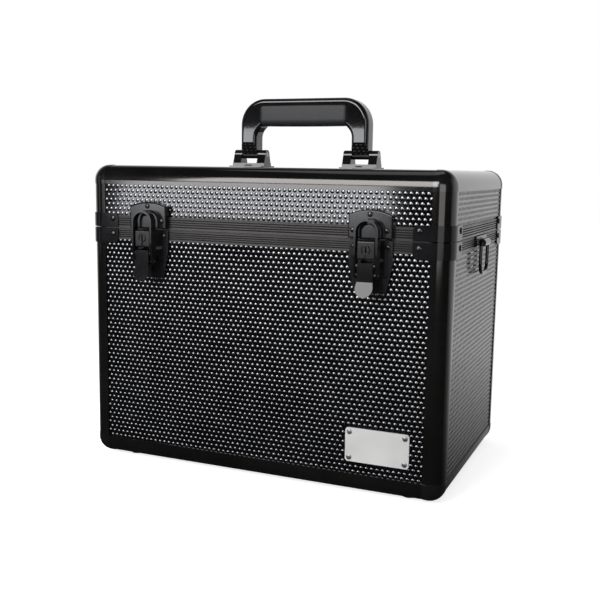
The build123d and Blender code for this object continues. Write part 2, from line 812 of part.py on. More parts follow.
def handle_frame():
    """Arched handle of one moulding, waisted where the grip wraps it."""
    half = handle_width / 2
    pivot_z = case_height + handle_pivot_above
    low = pivot_z - handle_eye_radius
    middle = (low + handle_top) / 2
    outer = Pos(0, middle) * Rectangle(2 * half, handle_top - low)
    outer = fillet(outer.vertices().group_by(Axis.Y)[-1], handle_corner_radius)
    inner_half = half - handle_leg_width
    inner = Pos(0, (low + handle_bar_under) / 2) * Rectangle(2 * inner_half, handle_bar_under - low)
    inner = fillet(inner.vertices().group_by(Axis.Y)[-1], handle_inner_radius)
    plane = Plane(origin=(0, handle_depth / 2, 0), x_dir=(1, 0, 0), z_dir=(0, -1, 0))
    solid = extrude(plane * (outer - inner), amount=handle_depth)
    rims = solid.faces().filter_by(Axis.Y).edges()
    rims = [e for e in rims if e.center().Z > low + 0.1]
    solid = fillet(rims, handle_edge_radius)
    deep = handle_depth / 2
    taper_z = pivot_z + handle_taper_above
    side = outline(
        [
            (-handle_eye_radius, pivot_z),
            (-deep, taper_z),
            (-deep, handle_top),
            (deep, handle_top),
            (deep, taper_z),
            (handle_eye_radius, pivot_z),
        ]
    )
    side = side + Pos(0, pivot_z) * Circle(handle_eye_radius)
    side_plane = Plane(origin=(-half, 0, 0), x_dir=(0, 1, 0), z_dir=(1, 0, 0))
    solid = solid & extrude(side_plane * side, amount=2 * half)
    bore = handle_pin_radius + running_clearance
    solid = solid - rod((-half, 0, pivot_z), (half, 0, pivot_z), bore)
    reach = grip_length / 2
    for side_sign in (-1, 1):
        y_low, y_high = sorted((side_sign * grip_core_depth / 2, side_sign * handle_depth))
        solid = solid - box_between((-reach, y_low, handle_bar_under), (reach, y_high, grip_top))
    return solid - box_between((-reach, -handle_depth, low), (reach, handle_depth, handle_bar_under))


def grip():
    """Soft sleeve that wraps the handle's bar from below."""
    reach = grip_length / 2
    half = grip_depth / 2
    sleeve = box_between((-reach, -half, grip_under), (reach, half, grip_top))
    low_edges = sleeve.edges().filter_by(Axis.X).group_by(Axis.Z)[0]
    sleeve = fillet(low_edges, grip_edge_radius)
    core = grip_core_depth / 2
    return sleeve - box_between((-reach, -core, handle_bar_under), (reach, core, grip_top))


def hardware(spots, length, head=rivet_head_radius, shank=rivet_shank_radius, rise=rivet_head_height):
    """One rivet for every spot."""
    return [rivet(at, outward, length, head, shank, rise) for at, outward in spots]


def mirrored_spots(spots):
    """Spots of the left and the right side."""
    return list(spots) + [((-at[0], at[1], at[2]), (-out[0], out[1], out[2])) for at, out in spots]


def rim_pieces():
    """Rails and wall panels of base and lid, pierced for what is riveted to them.

    Most rivets grip the rail's outer lip alone. Those of the catch plates go through the panel.
    """
    brace_length = brace_sheet + lip_thickness
    leaf_length = hinge_leaf_thickness + lip_thickness
    strap_length = strap_plate_thickness + lip_thickness
    keeper_grip = keeper_sheet + lip_thickness
    base_low = brace_spots(parting - rim_rivet_below)
    lid_low = brace_spots(parting + rim_rivet_above)
    base_rails = rail_round(base_rail, base_top)
    lid_rails = rail_round(lid_rail, lid_bottom)
    panel_top = base_top - base_rail_height + rail_slot_depth - panel_clearance
    panel_low = lid_bottom + lid_rail_height - rail_slot_depth + panel_clearance
    notch = profile_face + panel_clearance
    base_panels = wall_panels(panel_edge, panel_top, (0, notch))
    lid_panels = wall_panels(panel_low, case_height - panel_edge, (case_height - notch, case_height))
    outward = {"front": (0, -1, 0), "back": (0, 1, 0), "left": (-1, 0, 0), "right": (1, 0, 0)}
    base_work = [(base_low, brace_length), (mirrored_spots(keeper_spots()), keeper_grip)]
    base_work += [(hinge_spots(-1), leaf_length), (mirrored_spots(strap_spots()), strap_length)]
    lid_work = [(lid_low, brace_length), (hinge_spots(1), leaf_length)]
    for side, direction in outward.items():
        for work, rails in ((base_work, base_rails), (lid_work, lid_rails)):
            for spots, length in work:
                here = [spot for spot in spots if spot[1] == direction]
                rails[side] = pierced(rails[side], here, length)
    for group in (lid_rails, lid_panels):
        group["front"] = pierced(group["front"], mirrored_spots(catch_spots()), catch_depth + inside)
    base_panels["front"] = pierced(base_panels["front"], nameplate_spots(), wall, nameplate_rivet_shank)
    return base_rails, lid_rails, base_panels, lid_panels


def save(name, shapes):
    """Write one node, of one or several solids."""
    solids = [solid for shape in shapes for solid in shape.solids()]
    export_step(solids[0] if len(solids) == 1 else Compound(solids), f"parts/{name}.step")


def build():
    """Make every piece and write it."""
    base_rails, lid_rails, base_panels, lid_panels = rim_pieces()
    for x, y in foot_spots():
        hole = rod((x, y, 0), (x, y, inside), foot_screw_radius + rivet_clearance)
        base_panels["floor"] = base_panels.get("floor", floor_panel()) - hole
    top_panel = mirror(floor_panel(), about=mid_height)
    top_length = bracket_flange_above + lip_thickness + panel_thickness
    top_panel = pierced(top_panel, mirrored_spots(bracket_spots()), top_length)

    save("base_floor_panel", [base_panels["floor"]])
    save("base_front_panel", [base_panels["front"]])
    save("base_back_panel", [base_panels["back"]])
    save("base_end_panels", [base_panels["left"], base_panels["right"]])
    save("base_bottom_profiles", bottom_profiles())
    save("base_upright_profiles", upright_profiles(profile_face, base_top))
    save("base_corner_caps", corner_caps())
    save("base_front_rail", [base_rails["front"]])
    save("base_back_rail", [base_rails["back"]])
    save("base_end_rails", [base_rails["left"], base_rails["right"]])
    lining_top = base_top - base_rail_height - panel_clearance
    save("base_lining", lining(profile_face + panel_clearance, lining_top, inside))

    save("lid_top_panel", [top_panel])
    save("lid_front_panel", [lid_panels["front"]])
    save("lid_back_panel", [lid_panels["back"]])
    save("lid_end_panels", [lid_panels["left"], lid_panels["right"]])
    save("lid_top_profiles", to_lid(bottom_profiles()))
    save("lid_upright_profiles", upright_profiles(lid_bottom, case_height - profile_face))
    save("lid_corner_caps", to_lid(corner_caps()))
    save("lid_front_rail", [lid_rails["front"]])
    save("lid_back_rail", [lid_rails["back"]])
    save("lid_end_rails", [lid_rails["left"], lid_rails["right"]])
    lining_low = lid_bottom + lid_rail_height + panel_clearance
    lining_high = case_height - profile_face - panel_clearance
    save("lid_lining", lining(lining_low, lining_high, case_height - inside - lining_thickness))

    base_brace_top = base_top - brace_gap_to_parting
    lid_brace_low = lid_bottom + brace_gap_to_parting
    base_low = brace_spots(parting - rim_rivet_below)
    lid_low = brace_spots(parting + rim_rivet_above)
    brace_length = brace_sheet + lip_thickness
    low_z, high_z = base_brace_top - base_brace_height, lid_brace_low + lid_brace_height
    low_brace = brace(low_z, base_brace_top, low_z)
    high_brace = brace(lid_brace_low, high_z, high_z)
    low_braces = [pierced(each, base_low, brace_length) for each in front_and_back(left_and_right(low_brace))]
    high_braces = [pierced(each, lid_low, brace_length) for each in front_and_back(left_and_right(high_brace))]
    save("base_corner_braces", low_braces)
    save("lid_corner_braces", high_braces)
    save("base_brace_rivets", hardware(base_low, brace_length))
    save("lid_brace_rivets", hardware(lid_low, brace_length))

    save("feet", feet())
    save("foot_screws", foot_screws())
    save("nameplate", [nameplate()])
    small = (panel_thickness, nameplate_rivet_head, nameplate_rivet_shank, nameplate_thickness)
    save("nameplate_rivets", hardware(nameplate_spots(), *small))

    save("hinge_base_leaf", [hinge_leaf(0, -1)])
    save("hinge_lid_leaf", [hinge_leaf(1, 1)])
    save("hinge_pin", [hinge_pin()])
    leaf_length = hinge_leaf_thickness + lip_thickness
    save("hinge_base_rivets", hardware(hinge_spots(-1), leaf_length, hinge_rivet_head))
    save("hinge_lid_rivets", hardware(hinge_spots(1), leaf_length, hinge_rivet_head))

    save("latch_catch_plates", left_and_right(catch_plate()))
    save("latch_catch_rivets", hardware(mirrored_spots(catch_spots()), catch_depth + inside, latch_rivet_head))
    save("latch_base_plates", left_and_right(keeper_plate()))
    keeper_grip = keeper_sheet + lip_thickness
    save("latch_base_rivets", hardware(mirrored_spots(keeper_spots()), keeper_grip, latch_rivet_head))
    save("lock_housings", left_and_right(lock_housing()))
    pivot_half = lever_width / 2 + side_clearance + ear_thickness
    lever_pin = latch_pin(lever_pivot_depth, lever_pivot_below, pivot_half)
    save("lever_pivot_pins", left_and_right(lever_pin))
    moving = {
        "lock_cylinder": lock_cylinder(),
        "latch_lever": lever(),
        "draw_loop": draw_loop(),
        "loop_pin": latch_pin(loop_pin_depth, loop_pin_below, loop_width / 2),
    }
    for name, piece in moving.items():
        left, right = left_and_right(piece)
        save(f"left_{name}", [left])
        save(f"right_{name}", [right])

    save("strap_plates", left_and_right(strap_plate()))
    strap_length = strap_plate_thickness + lip_thickness
    save("strap_rivets", hardware(mirrored_spots(strap_spots()), strap_length, latch_rivet_head))
    right_ring, left_ring = left_and_right(strap_ring())
    save("right_strap_ring", [right_ring])
    save("left_strap_ring", [left_ring])

    save("handle_brackets", left_and_right(handle_bracket()))
    save("handle_bracket_rivets", hardware(mirrored_spots(bracket_spots()), top_length, latch_rivet_head))
    save("handle_pins", left_and_right(handle_pin()))
    save("handle_frame", [handle_frame()])
    save("handle_grip", [grip()])


build()
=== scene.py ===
import json
import math

import bpy
import numpy as np
from mathutils import Matrix, Vector


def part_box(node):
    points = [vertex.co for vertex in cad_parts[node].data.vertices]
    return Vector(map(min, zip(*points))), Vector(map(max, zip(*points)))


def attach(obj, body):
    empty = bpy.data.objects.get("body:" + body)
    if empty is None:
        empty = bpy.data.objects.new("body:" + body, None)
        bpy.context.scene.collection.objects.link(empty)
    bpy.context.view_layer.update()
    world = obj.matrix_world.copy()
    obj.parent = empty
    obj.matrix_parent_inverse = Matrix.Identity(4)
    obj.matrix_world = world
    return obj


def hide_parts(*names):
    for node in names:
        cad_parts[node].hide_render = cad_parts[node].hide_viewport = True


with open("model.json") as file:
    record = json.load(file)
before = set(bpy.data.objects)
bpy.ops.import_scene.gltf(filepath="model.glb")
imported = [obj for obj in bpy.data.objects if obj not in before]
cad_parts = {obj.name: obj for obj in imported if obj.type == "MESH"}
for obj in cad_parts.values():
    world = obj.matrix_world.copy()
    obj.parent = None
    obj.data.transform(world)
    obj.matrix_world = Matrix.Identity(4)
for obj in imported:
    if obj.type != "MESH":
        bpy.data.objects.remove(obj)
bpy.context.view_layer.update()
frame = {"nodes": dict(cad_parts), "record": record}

bl_info = {
    "name": "Dotted Tool Case",
    "version": (1, 0, 0),
    "blender": (4, 5, 0),
    "location": "View3D > Sidebar > Case",
    "description": "Dresses a hard case: dotted sheet, frame, latches, handle and studio",
    "category": "Object",
}

BODIES = {
    node: body
    for body, nodes in frame["record"]["behaviour"]["bodies"].items()
    for node in nodes
}

# The grooved face of the front and back rails, in metres: its height on the base, where the rim
# tongue stands above it, the plain land along its edges, and the number of grooves between them.
RAIL_HEIGHT = 0.011
RAIL_LAND = 0.0016
RAIL_GROOVES = 4
# A groove's reach from its middle, as a share of the pitch: full up to the first number, gone at
# the second. The strength is how much of the painted shade, a dull dark finish, shows in it.
GROOVE_REACH = (0.22, 0.32)
GROOVE_SHADE_STRENGTH = 0.85

# How deep a dot's base lies inside the sheet and how far a dot strays from its place, in metres,
# and how much its size varies, as a share.
DOT_SINK = 0.0001
DOT_STRAY = 0.00005
DOT_SPREAD = 0.03

# Points round a rivet's head, and how much wider the nameplate's heads are than their solids.
HEAD_SIDES = 20
NAMEPLATE_HEAD = 1.45

# Levels of a slow noise between which a finish turns from its base to its light colour, and
# between which its gloss changes.
TONE = (0.35, 0.7)
SHEEN = (0.3, 0.7)

WHITE = (1.0, 1.0, 1.0)
WARM = (1.0, 0.95, 0.925, 1.0)
# Scales of a pattern whose lines run along one axis.
LONG_X, LONG_Y, LONG_Z = (0.02, 1.0, 1.0), (1.0, 0.02, 1.0), (1.0, 1.0, 0.02)

# Each lamp's name, place, the point it faces, width and height, the setting with its watts, and
# colour. The strip lamp is mirrored in the lid and in the handle's legs. The tall softbox stands
# above all that the flat faces mirror, so it shows only in the dots and the rounded edges.
LAMPS = (
    (
        "strip lamp",
        (-0.95, -2.0, 0.284),
        (-0.95, 0, 0.284),
        (1.0, 0.312),
        "band_power",
        (0.95, 0.965, 1.0),
    ),
    ("tall softbox", (-0.6, -2.0, 1.15), (-0.6, 0, 1.15), (1.3, 1.1), "key_power", WHITE),
    ("right soft lamp", (1.15, -2.0, 0.45), (1.15, 0, 0.45), (1.6, 1.2), "right_power", WHITE),
    ("left edge lamp", (-2.2, -1.2, 0.5), (-0.19, -0.11, 0.2), (0.5, 1.2), "left_power", WHITE),
    ("top fill", (-0.2, 0.3, 1.9), (0, 0, 0.16), (1.2, 0.8), "top_power", WHITE),
)
SENSOR_WIDTH = 36.0
FLOOR_HALF = 6.0


class Term:
    """A shader socket in an expression: its operators add Math nodes to the same graph."""

    def __init__(self, graph, socket):
        self.graph = graph
        self.socket = socket

    def math(self, operation, first, second):
        """One Math node on two terms or numbers."""
        made = self.graph.node("ShaderNodeMath", {"operation": operation}, {0: first, 1: second})
        return Term(self.graph, made.outputs[0])

    def __add__(self, other):
        return self.math("ADD", self, other)

    def __radd__(self, other):
        return self.math("ADD", other, self)

    def __sub__(self, other):
        return self.math("SUBTRACT", self, other)

    def __rsub__(self, other):
        return self.math("SUBTRACT", other, self)

    def __mul__(self, other):
        return self.math("MULTIPLY", self, other)

    def __rmul__(self, other):
        return self.math("MULTIPLY", other, self)

    def over(self, number):
        """This term divided by a plain number."""
        return self.math("MULTIPLY", self, 1.0 / number)

    def above(self, low, high):
        """0 under low, 1 over high, and a straight ramp between."""
        made = self.graph.node(
            "ShaderNodeMapRange",
            {"clamp": True},
            {"Value": self, "From Min": low, "From Max": high, "To Min": 0.0, "To Max": 1.0},
        )
        return Term(self.graph, made.outputs[0])


class Graph:
    """A node tree of a material or of the world, filled one node at a time."""

    def __init__(self, owner):
        owner.use_nodes = True
        self.owner = owner
        self.tree = owner.node_tree
        self.tree.nodes.clear()

    def node(self, kind, settings=None, inputs=None):
        """Any node: its settings first, and then the values or links of its sockets."""
        made = self.tree.nodes.new(kind)
        for key, value in (settings or {}).items():
            setattr(made, key, value)
        for key, value in (inputs or {}).items():
            self.feed(made.inputs[key], value)
        return made

    def feed(self, socket, value):
        """Link a term or a socket, or set a plain value."""
        if isinstance(value, Term):
            self.tree.links.new(value.socket, socket)
        elif isinstance(value, bpy.types.NodeSocket):
            self.tree.links.new(value, socket)
        else:
            socket.default_value = value

    def object_place(self, scale=(1.0, 1.0, 1.0)):
        """Object coordinates, stretched by a factor on each axis."""
        place = self.node("ShaderNodeTexCoord").outputs["Object"]
        return self.node("ShaderNodeMapping", {}, {"Vector": place, "Scale": scale}).outputs[0]

    def axes(self, place):
        """X, Y and Z of a vector, as three terms."""
        parts = self.node("ShaderNodeSeparateXYZ", {}, {0: place}).outputs
        return [Term(self, part) for part in parts]

    def rays(self):
        """Terms that are 1 for what is seen directly or through glass, and for what is mirrored."""
        seen = self.node("ShaderNodeLightPath").outputs
        direct = Term(self, seen["Is Camera Ray"]) + seen["Is Transmission Ray"]
        return direct, Term(self, seen["Is Glossy Ray"])

    def noise(self, place, size, detail, roughness=0.5):
        """Noise term with features about one size across, in metres."""
        inputs = {"Vector": place, "Scale": 1.0 / size, "Detail": detail, "Roughness": roughness}
        return Term(self, self.node("ShaderNodeTexNoise", {}, inputs).outputs[0])

    def mix(self, factor, first, second):
        """Blend of two colours."""
        made = self.node("ShaderNodeMix", {"data_type": "RGBA"}, {0: factor, 6: first, 7: second})
        return made.outputs[2]

    def bump(self, height, depth):
        """Normal from a height term, with its real depth in metres."""
        inputs = {"Height": height, "Distance": depth, "Strength": 1.0}
        return self.node("ShaderNodeBump", {}, inputs).outputs[0]

    def surface(self, shader):
        """End of the graph."""
        world = isinstance(self.owner, bpy.types.World)
        kind = "ShaderNodeOutputWorld" if world else "ShaderNodeOutputMaterial"
        self.node(kind, {}, {"Surface": shader})


def rgb(colour):
    """Colour with full alpha."""
    return (colour[0], colour[1], colour[2], 1.0)


def lighter(colour, share):
    """Colour with each channel multiplied by a share."""
    return tuple(channel * share for channel in colour)


def material(name, inputs, build):
    """Principled material whose build function returns the sockets that vary over the surface.

    Where that also returns a mask of painted shade, the finish gives way by its share to a dull
    dark one that paints the shade.
    """
    made = bpy.data.materials.new(name)
    graph = Graph(made)
    values = {**inputs, **build(graph)}
    painted_shade = values.pop("Hollow", None)
    shader = graph.node("ShaderNodeBsdfPrincipled", {}, values)
    if painted_shade:
        # Painted shade: a dull, nearly black finish mixed in where the mask is.
        dull = {"Base Color": rgb([0.002] * 3), "Roughness": 0.9, "Specular IOR Level": 0.04}
        inside = graph.node("ShaderNodeBsdfPrincipled", {}, dull)
        both = {0: painted_shade, 1: shader.outputs[0], 2: inside.outputs[0]}
        shader = graph.node("ShaderNodeMixShader", {}, both)
    graph.surface(shader.outputs[0])
    return made


def drawn_grain(graph, base, light, rough, axis_scale, depth=1.5e-6):
    """Fine lines along one axis, with a slow wander of colour and gloss over them."""
    lines = graph.noise(graph.object_place(axis_scale), size=0.0009, detail=3.0, roughness=0.6)
    slow = graph.noise(graph.object_place(), size=0.05, detail=2.0)
    uneven = slow.above(*SHEEN) * 0.25 + lines.above(*SHEEN) * 0.2
    return {
        "Base Color": graph.mix(slow.above(*TONE), rgb(base), rgb(light)),
        "Roughness": uneven * rough + rough,
        "Normal": graph.bump(lines, depth),
    }


def groove_shade_mask(graph, low, high):
    """1 in the level grooves of a rail face between two heights, where shade is painted, and 0 on
    its ribs and lands.

    A groove lies in the middle of each pitch. The mask starts sharply above the lower land and
    fades out over the upper one.
    """
    height = graph.axes(graph.object_place())[2]
    first, sharp = low + RAIL_LAND, 1e-5
    pitch = (high - low - 2 * RAIL_LAND) / RAIL_GROOVES
    turn = (height - first).over(pitch)
    inside = height.above(first, first + sharp) * (1.0 - height.above(high - RAIL_LAND, high))
    # Distance from the middle of the nearest pitch, as a share of a pitch.
    away = turn.math("PINGPONG", turn - 0.5, 0.5)
    return (1.0 - away.above(*GROOVE_REACH)) * inside


def grooved(graph, base, light, rough, axis_scale):
    """Drawn grain with painted shade: darker and duller down in the rails' level grooves."""
    base_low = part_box("base_front_rail")[0][2]
    lid_low, lid_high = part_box("lid_front_rail")[0][2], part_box("lid_front_rail")[1][2]
    # Painted shade down in the rails' grooves, where the shade of each recess falls.
    grooves = groove_shade_mask(graph, base_low, base_low + RAIL_HEIGHT)
    grooves = grooves + groove_shade_mask(graph, lid_low, lid_high)
    values = drawn_grain(graph, base, light, rough, axis_scale)
    return {**values, "Hollow": grooves * GROOVE_SHADE_STRENGTH}


def paint_skin(graph, base, light, rough, size, depth):
    """Paint with a faint orange peel and slightly uneven gloss."""
    peel = graph.noise(graph.object_place(), size, detail=2.0)
    slow = graph.noise(graph.object_place(), size=0.03, detail=3.0)
    return {
        "Base Color": graph.mix(slow.above(*TONE), rgb(base), rgb(light)),
        "Roughness": slow.above(*SHEEN) * (0.4 * rough) + rough,
        "Normal": graph.bump(peel, depth),
    }


def soft_grain(graph, base, light, rough, size, depth):
    """Moulded grain: round cells with duller valleys between them, and painted shade that darkens
    the valleys' colour.
    """
    place = graph.object_place()
    inputs = {"Vector": place, "Scale": 1.0 / size}
    cells = graph.node("ShaderNodeTexVoronoi", {"feature": "SMOOTH_F1"}, inputs)
    height = 1.0 - Term(graph, cells.outputs[0]).above(0.1, 0.8)
    slow = graph.noise(place, size=0.02, detail=3.0)
    return {
        # The colour lightens on the cells' tops where the slow noise is high: a random tone, and
        # painted shade darker down in the valleys.
        "Base Color": graph.mix(height * slow, rgb(base), rgb(light)),
        "Roughness": rough - height * 0.08,
        "Normal": graph.bump(height, depth),
    }


def anodised(name, base, rough, axis_scale, specular=0.54, look=drawn_grain):
    """Drawn dark metal with a faintly warm gloss."""
    return material(
        name,
        {"Specular IOR Level": specular, "Specular Tint": WARM},
        lambda graph: look(graph, base, lighter(base, 1.5), rough, axis_scale),
    )


def painted(name, base, rough, specular, size=0.0022, depth=3e-6):
    """Gloss paint."""
    return material(
        name,
        {"Specular IOR Level": specular},
        lambda graph: paint_skin(graph, base, lighter(base, 1.6), rough, size, depth),
    )


def moulded(name, base, light, rough, specular, size, depth):
    """Grained rubber or board."""
    return material(
        name,
        {"Specular IOR Level": specular},
        lambda graph: soft_grain(graph, base, light, rough, size, depth),
    )


def mesh_piece(name, vertices, faces, finish, body):
    """New smooth piece at the origin from arrays of points and faces, riding on a body."""
    data = bpy.data.meshes.new(name)
    data.from_pydata(vertices, [], faces)
    data.update()
    data.polygons.foreach_set("use_smooth", np.ones(len(data.polygons), dtype=bool))
    data.materials.append(finish)
    piece = bpy.data.objects.new(name, data)
    bpy.context.scene.collection.objects.link(piece)
    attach(piece, body)
    return piece


def ring_faces(rings, around, closed_ends=True):
    """Quads between rings of points laid out ring after ring, and a flat face on each end."""
    i, j = np.meshgrid(np.arange(rings - 1), np.arange(around), indexing="ij")
    k = (j + 1) % around
    corners = [i * around + j, i * around + k, (i + 1) * around + k, (i + 1) * around + j]
    faces = [tuple(quad) for quad in np.stack(corners, -1).reshape(-1, 4).tolist()]
    if closed_ends:
        faces.append(tuple(range(around - 1, -1, -1)))
        faces.append(tuple(range((rings - 1) * around, rings * around)))
    return faces


def crowned_faces(rings, around):
    """Quads between rings, a fan up to the one point after them, and a flat face below."""
    last = (rings - 1) * around
    crown = rings * around
    faces = ring_faces(rings, around, closed_ends=False)
    faces += [(last + j, last + (j + 1) % around, crown) for j in range(around)]
    faces.append(tuple(range(around - 1, -1, -1)))
    return faces


def repeated_faces(faces, copies, points_each):
    """The same faces for each of a number of copies, whose points follow one another."""
    starts = range(0, copies * points_each, points_each)
    return [tuple(i + start for i in face) for start in starts for face in faces]


def rounded_outline(corners, radii, steps):
    """Closed outline through corners given in turn, each replaced by an arc of its radius.

    The arc touches both sides at radius / tan(half the corner's angle) from the corner.
    """
    points = []
    count = len(corners)
    t = np.linspace(0, 1, steps)[:, None]
    for i in range(count):
        here = np.array(corners[i], float)
        before = np.array(corners[i - 1], float) - here
        after = np.array(corners[(i + 1) % count], float) - here
        before /= np.linalg.norm(before)
        after /= np.linalg.norm(after)
        half = 0.5 * math.acos(float(np.clip(before @ after, -1, 1)))
        touch = radii[i] / math.tan(half)
        middle = before + after
        centre = here + middle / np.linalg.norm(middle) * radii[i] / math.sin(half)
        start, end = here + before * touch - centre, here + after * touch - centre
        arc = start * (1 - t) + end * t
        arc *= radii[i] / np.linalg.norm(arc, axis=1, keepdims=True)
        points.append(centre + arc)
    return np.concatenate(points)


def dome_shape(radius, height, sides):
    """One low dome: at the share r of its radius it stands height * (1 - r * r) high.

    Its edge goes steeply down to a flat base just inside the sheet.
    """
    shares = np.array([1.0, 0.98, 0.78, 0.42])
    lifts = np.array([-DOT_SINK, 0.04 * height, height * (1 - 0.78**2), height * (1 - 0.42**2)])
    angle = 2 * np.pi * np.arange(sides) / sides
    ring = np.stack([np.cos(angle), np.sin(angle)], 1)
    flat = (shares[:, None, None] * radius) * ring[None]
    rise = np.broadcast_to(lifts[:, None, None], flat.shape[:2] + (1,))
    points = np.concatenate([flat, rise], 2).reshape(-1, 3)
    return np.concatenate([points, [[0, 0, height]]]), crowned_faces(len(shares), sides)


def staggered_grid(size_u, size_v, pitch, row):
    """Centres in rows one row apart, every other row shifted by half a pitch, on a field.

    The field is centred on zero, and a centre outside it is left out.
    """
    rows = int(size_v / row) + 1
    columns = int(size_u / pitch) + 2
    v = (np.arange(rows) - (rows - 1) / 2) * row
    u = (np.arange(columns) - (columns - 1) / 2) * pitch
    grid = np.stack(np.meshgrid(u, v), -1)
    grid[1::2, :, 0] += pitch / 2
    flat = grid.reshape(-1, 2)
    return flat[(np.abs(flat[:, 0]) < size_u / 2) & (np.abs(flat[:, 1]) < size_v / 2)]


class SheetSizes(bpy.types.PropertyGroup):
    """Sizes of the raised dots on the sheet."""

    pitch: bpy.props.FloatProperty(
        name="Pitch", description="Distance between dots in a row", default=0.00525, unit="LENGTH"
    )
    row: bpy.props.FloatProperty(
        name="Row", description="Distance between rows", default=0.00455, unit="LENGTH"
    )
    radius: bpy.props.FloatProperty(
        name="Radius", description="Radius of a dot", default=0.00215, unit="LENGTH"
    )
    height: bpy.props.FloatProperty(
        name="Height", description="Rise of a dot", default=0.00050, unit="LENGTH"
    )
    sides: bpy.props.IntProperty(
        name="Sides", description="Points round a dot", default=8, min=6, max=12
    )


class FinishColours(bpy.types.PropertyGroup):
    """Colours and gloss of the case's finishes."""

    frame_black: bpy.props.FloatVectorProperty(
        name="Frame",
        description="Anodised frame",
        default=(0.0032, 0.0031, 0.0030),
        subtype="COLOR",
    )
    rail_grey: bpy.props.FloatVectorProperty(
        name="Rails", description="Rim rails", default=(0.020, 0.0194, 0.0184), subtype="COLOR"
    )
    sheet_black: bpy.props.FloatVectorProperty(
        name="Sheet",
        description="Ground of the dotted sheet",
        default=(0.0016, 0.0016, 0.0020),
        subtype="COLOR",
    )
    dot_metal: bpy.props.FloatVectorProperty(
        name="Dots", description="Metal of the dots", default=(0.125, 0.125, 0.13), subtype="COLOR"
    )
    hardware_black: bpy.props.FloatVectorProperty(
        name="Hardware",
        description="Painted hardware",
        default=(0.0040, 0.0040, 0.0044),
        subtype="COLOR",
    )
    plate_metal: bpy.props.FloatVectorProperty(
        name="Plate",
        description="Bare brushed plate",
        default=(0.64, 0.632, 0.625),
        subtype="COLOR",
    )
    grip_grey: bpy.props.FloatVectorProperty(
        name="Grip", description="Soft grip", default=(0.012, 0.0124, 0.014), subtype="COLOR"
    )
    frame_gloss: bpy.props.FloatProperty(
        name="Frame roughness",
        description="Roughness of the frame",
        default=0.09,
        min=0,
        max=1,
        subtype="FACTOR",
    )


class StudioSettings(bpy.types.PropertyGroup):
    """Camera and lamps."""

    camera_place: bpy.props.FloatVectorProperty(
        name="Camera",
        description="Camera position",
        default=(0.3607, -0.8610, 0.2985),
        subtype="TRANSLATION",
    )
    yaw: bpy.props.FloatProperty(
        name="Yaw", description="Turn to the left", default=0.4003, unit="ROTATION"
    )
    pitch: bpy.props.FloatProperty(
        name="Pitch", description="Tilt down", default=0.148, unit="ROTATION"
    )
    roll: bpy.props.FloatProperty(
        name="Roll", description="Lean", default=0.016, unit="ROTATION"
    )
    lens: bpy.props.FloatProperty(
        name="Lens", description="Focal length on a 36 mm sensor", default=52.53, unit="CAMERA"
    )
    key_power: bpy.props.FloatProperty(
        name="Key", description="Tall front softbox", default=45.0, unit="POWER"
    )
    band_power: bpy.props.FloatProperty(
        name="Band", description="Low wide strip lamp", default=8.0, unit="POWER"
    )
    right_power: bpy.props.FloatProperty(
        name="Right", description="Wide lamp at the right", default=15.0, unit="POWER"
    )
    left_power: bpy.props.FloatProperty(
        name="Left", description="Narrow lamp at the left", default=1.0, unit="POWER"
    )
    top_power: bpy.props.FloatProperty(
        name="Top", description="Overhead lamp", default=2.5, unit="POWER"
    )


def finish_library(colours):
    """Every material of the case, by the name of what it covers."""
    frame_black = tuple(colours.frame_black)
    rail_grey = tuple(colours.rail_grey)
    hardware = tuple(colours.hardware_black)
    sheet = tuple(colours.sheet_black)
    dots = tuple(colours.dot_metal)
    plate = tuple(colours.plate_metal)
    grip = tuple(colours.grip_grey)
    gloss = colours.frame_gloss
    return {
        "frame along width": anodised("frame black along width", frame_black, gloss, LONG_X),
        "frame upright": anodised("frame black upright", frame_black, gloss, LONG_Z),
        "rail long": anodised("rail dark along width", rail_grey, 0.22, LONG_X, 0.36, grooved),
        "rail short": anodised("rail dark along depth", rail_grey, 0.30, LONG_Y, 0.8, grooved),
        "cap": painted("cap gloss black", hardware, rough=0.12, specular=0.7),
        "brace": painted("brace black", hardware, rough=0.10, specular=0.24),
        "latch": painted("latch gloss black", hardware, rough=0.13, specular=0.34),
        "lock": painted("lock black", hardware, rough=0.16, specular=0.38),
        "rivet": painted("rivet black", hardware, rough=0.12, specular=0.48, size=0.001),
        "handle": painted("handle gloss black", hardware, rough=0.03, specular=0.5),
        "sheet": painted(
            "sheet ground", sheet, rough=0.06, specular=0.60, size=0.0008, depth=1e-6
        ),
        "dot": material(
            "dot gloss black",
            {"Metallic": 1.0},
            lambda graph: paint_skin(graph, dots, (0.155, 0.155, 0.16), 0.13, 0.0006, 1e-6),
        ),
        "steel": material(
            "plain steel",
            {"Metallic": 1.0},
            lambda graph: drawn_grain(graph, (0.30, 0.30, 0.30), (0.38, 0.38, 0.37), 0.32, LONG_X),
        ),
        "plate": material(
            "plate brushed",
            {"Metallic": 0.5, "Specular IOR Level": 0.6},
            lambda graph: drawn_grain(graph, plate, (0.74, 0.733, 0.726), 0.34, LONG_X, 4e-6),
        ),
        "grip": moulded(
            "grip soft grain",
            grip,
            lighter(grip, 1.7),
            rough=0.62,
            specular=0.5,
            size=0.0007,
            depth=2.5e-5,
        ),
        "foot": moulded(
            "foot rubber",
            (0.012, 0.012, 0.012),
            (0.02, 0.02, 0.02),
            rough=0.75,
            specular=0.3,
            size=0.0006,
            depth=1e-5,
        ),
        "lining": moulded(
            "lining grained board",
            (0.035, 0.036, 0.038),
            (0.06, 0.06, 0.064),
            rough=0.85,
            specular=0.25,
            size=0.0012,
            depth=3e-5,
        ),
    }


